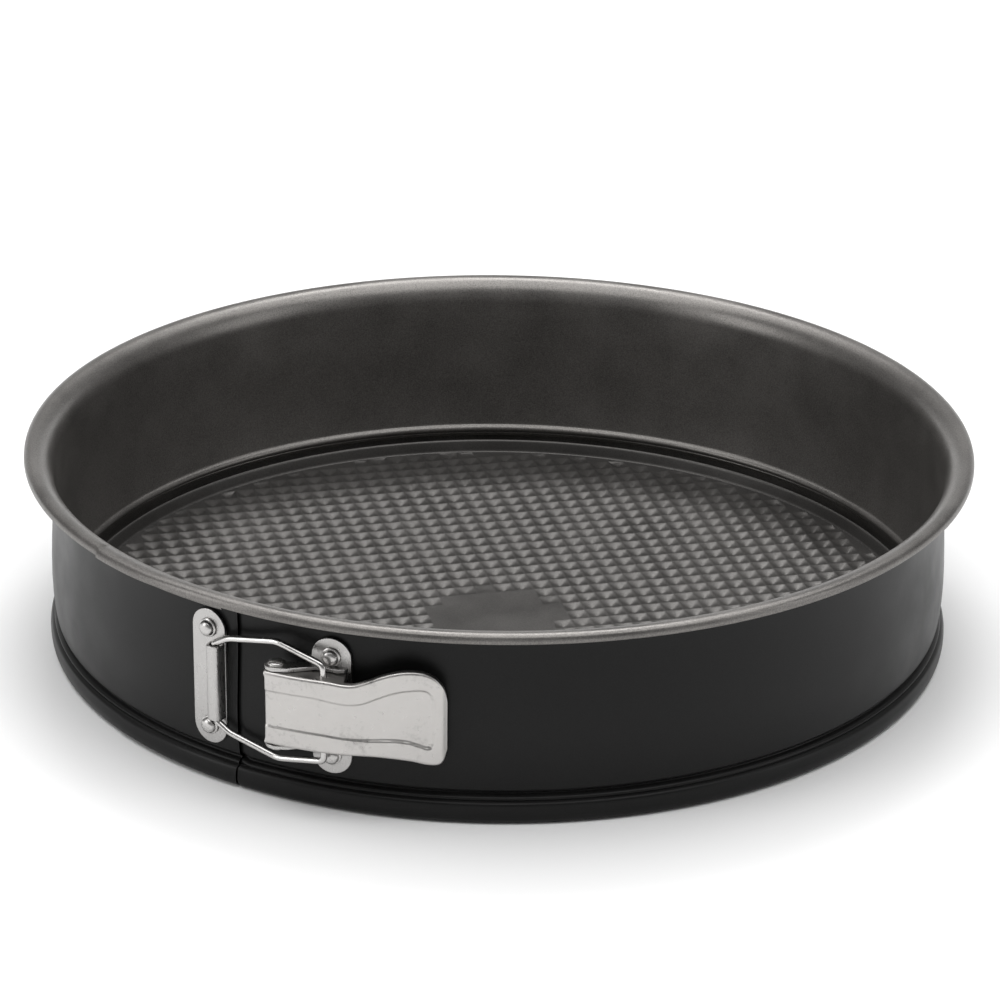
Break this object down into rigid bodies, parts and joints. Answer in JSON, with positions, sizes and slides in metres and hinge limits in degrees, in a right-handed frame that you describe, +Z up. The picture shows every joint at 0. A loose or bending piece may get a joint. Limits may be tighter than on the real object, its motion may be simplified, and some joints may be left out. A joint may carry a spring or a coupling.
{
  "type": "springform pan",
  "caption": "Round baking tin with a separate lift-out base and a side ring that opens with a lever latch and a wire bail.",
  "frame": {"origin": "on the ring's axis, in the plane that the pan rests on", "axes": "+Z up along the ring's axis; -Y towards the front, with the latch at the front left; +X right"},
  "size_m": [0.2766, 0.2766, 0.0589],
  "materials": {
    "ring_sheet": "semi-gloss dark grey non-stick coating",
    "base_sheet": "dark grey non-stick coating on a waffle-pressed sheet",
    "latch_plate": "satin",
    "lever_sheet": "satin, faintly mottled",
    "bail_wire": "bright",
    "rivet": "satin"
  },
  "bodies": {
    "right_ring": {"band_right": "ring_sheet", "catch_bracket": "latch_plate", "bracket_rivet_upper": "rivet", "bracket_rivet_lower": "rivet", "lever_pivot_upper": "rivet", "lever_pivot_lower": "rivet"},
    "left_ring": {"band_left": "ring_sheet", "strike_plate": "latch_plate", "strike_rivet_upper": "rivet", "strike_rivet_lower": "rivet"},
    "base": {"base_plate": "base_sheet"},
    "lever": {"latch_lever": "lever_sheet"},
    "bail": {"wire_bail": "bail_wire"}
  },
  "joints": [
    {"name": "lever_swing", "type": "hinge", "parent": "right_ring", "child": "lever", "pos_m": [-0.05876, -0.1232, 0.0311], "axis": [0, 0, -1], "range_deg": [0, 90]},
    {"name": "bail_swing", "type": "hinge", "parent": "lever", "child": "bail", "pos_m": [-0.04605, -0.1286, 0.0311], "axis": [0, 0, 1], "range_deg": [0, 63.26]},
    {"name": "ring_spread", "type": "hinge", "parent": "right_ring", "child": "left_ring", "pos_m": [0.07118, 0.11846, 0.0288], "axis": [0, 0, -1], "range_deg": [0, 1.62]},
    {"name": "base_lift", "type": "slide", "parent": "right_ring", "child": "base", "axis": [0, 0, 1], "range_m": [0, 0.08]}
  ],
  "couplings": [
    {"joint": "bail_swing", "follows": "lever_swing", "ratio": 0.70283},
    {"joint": "ring_spread", "follows": "lever_swing", "ratio": 0.017977}
  ]
}
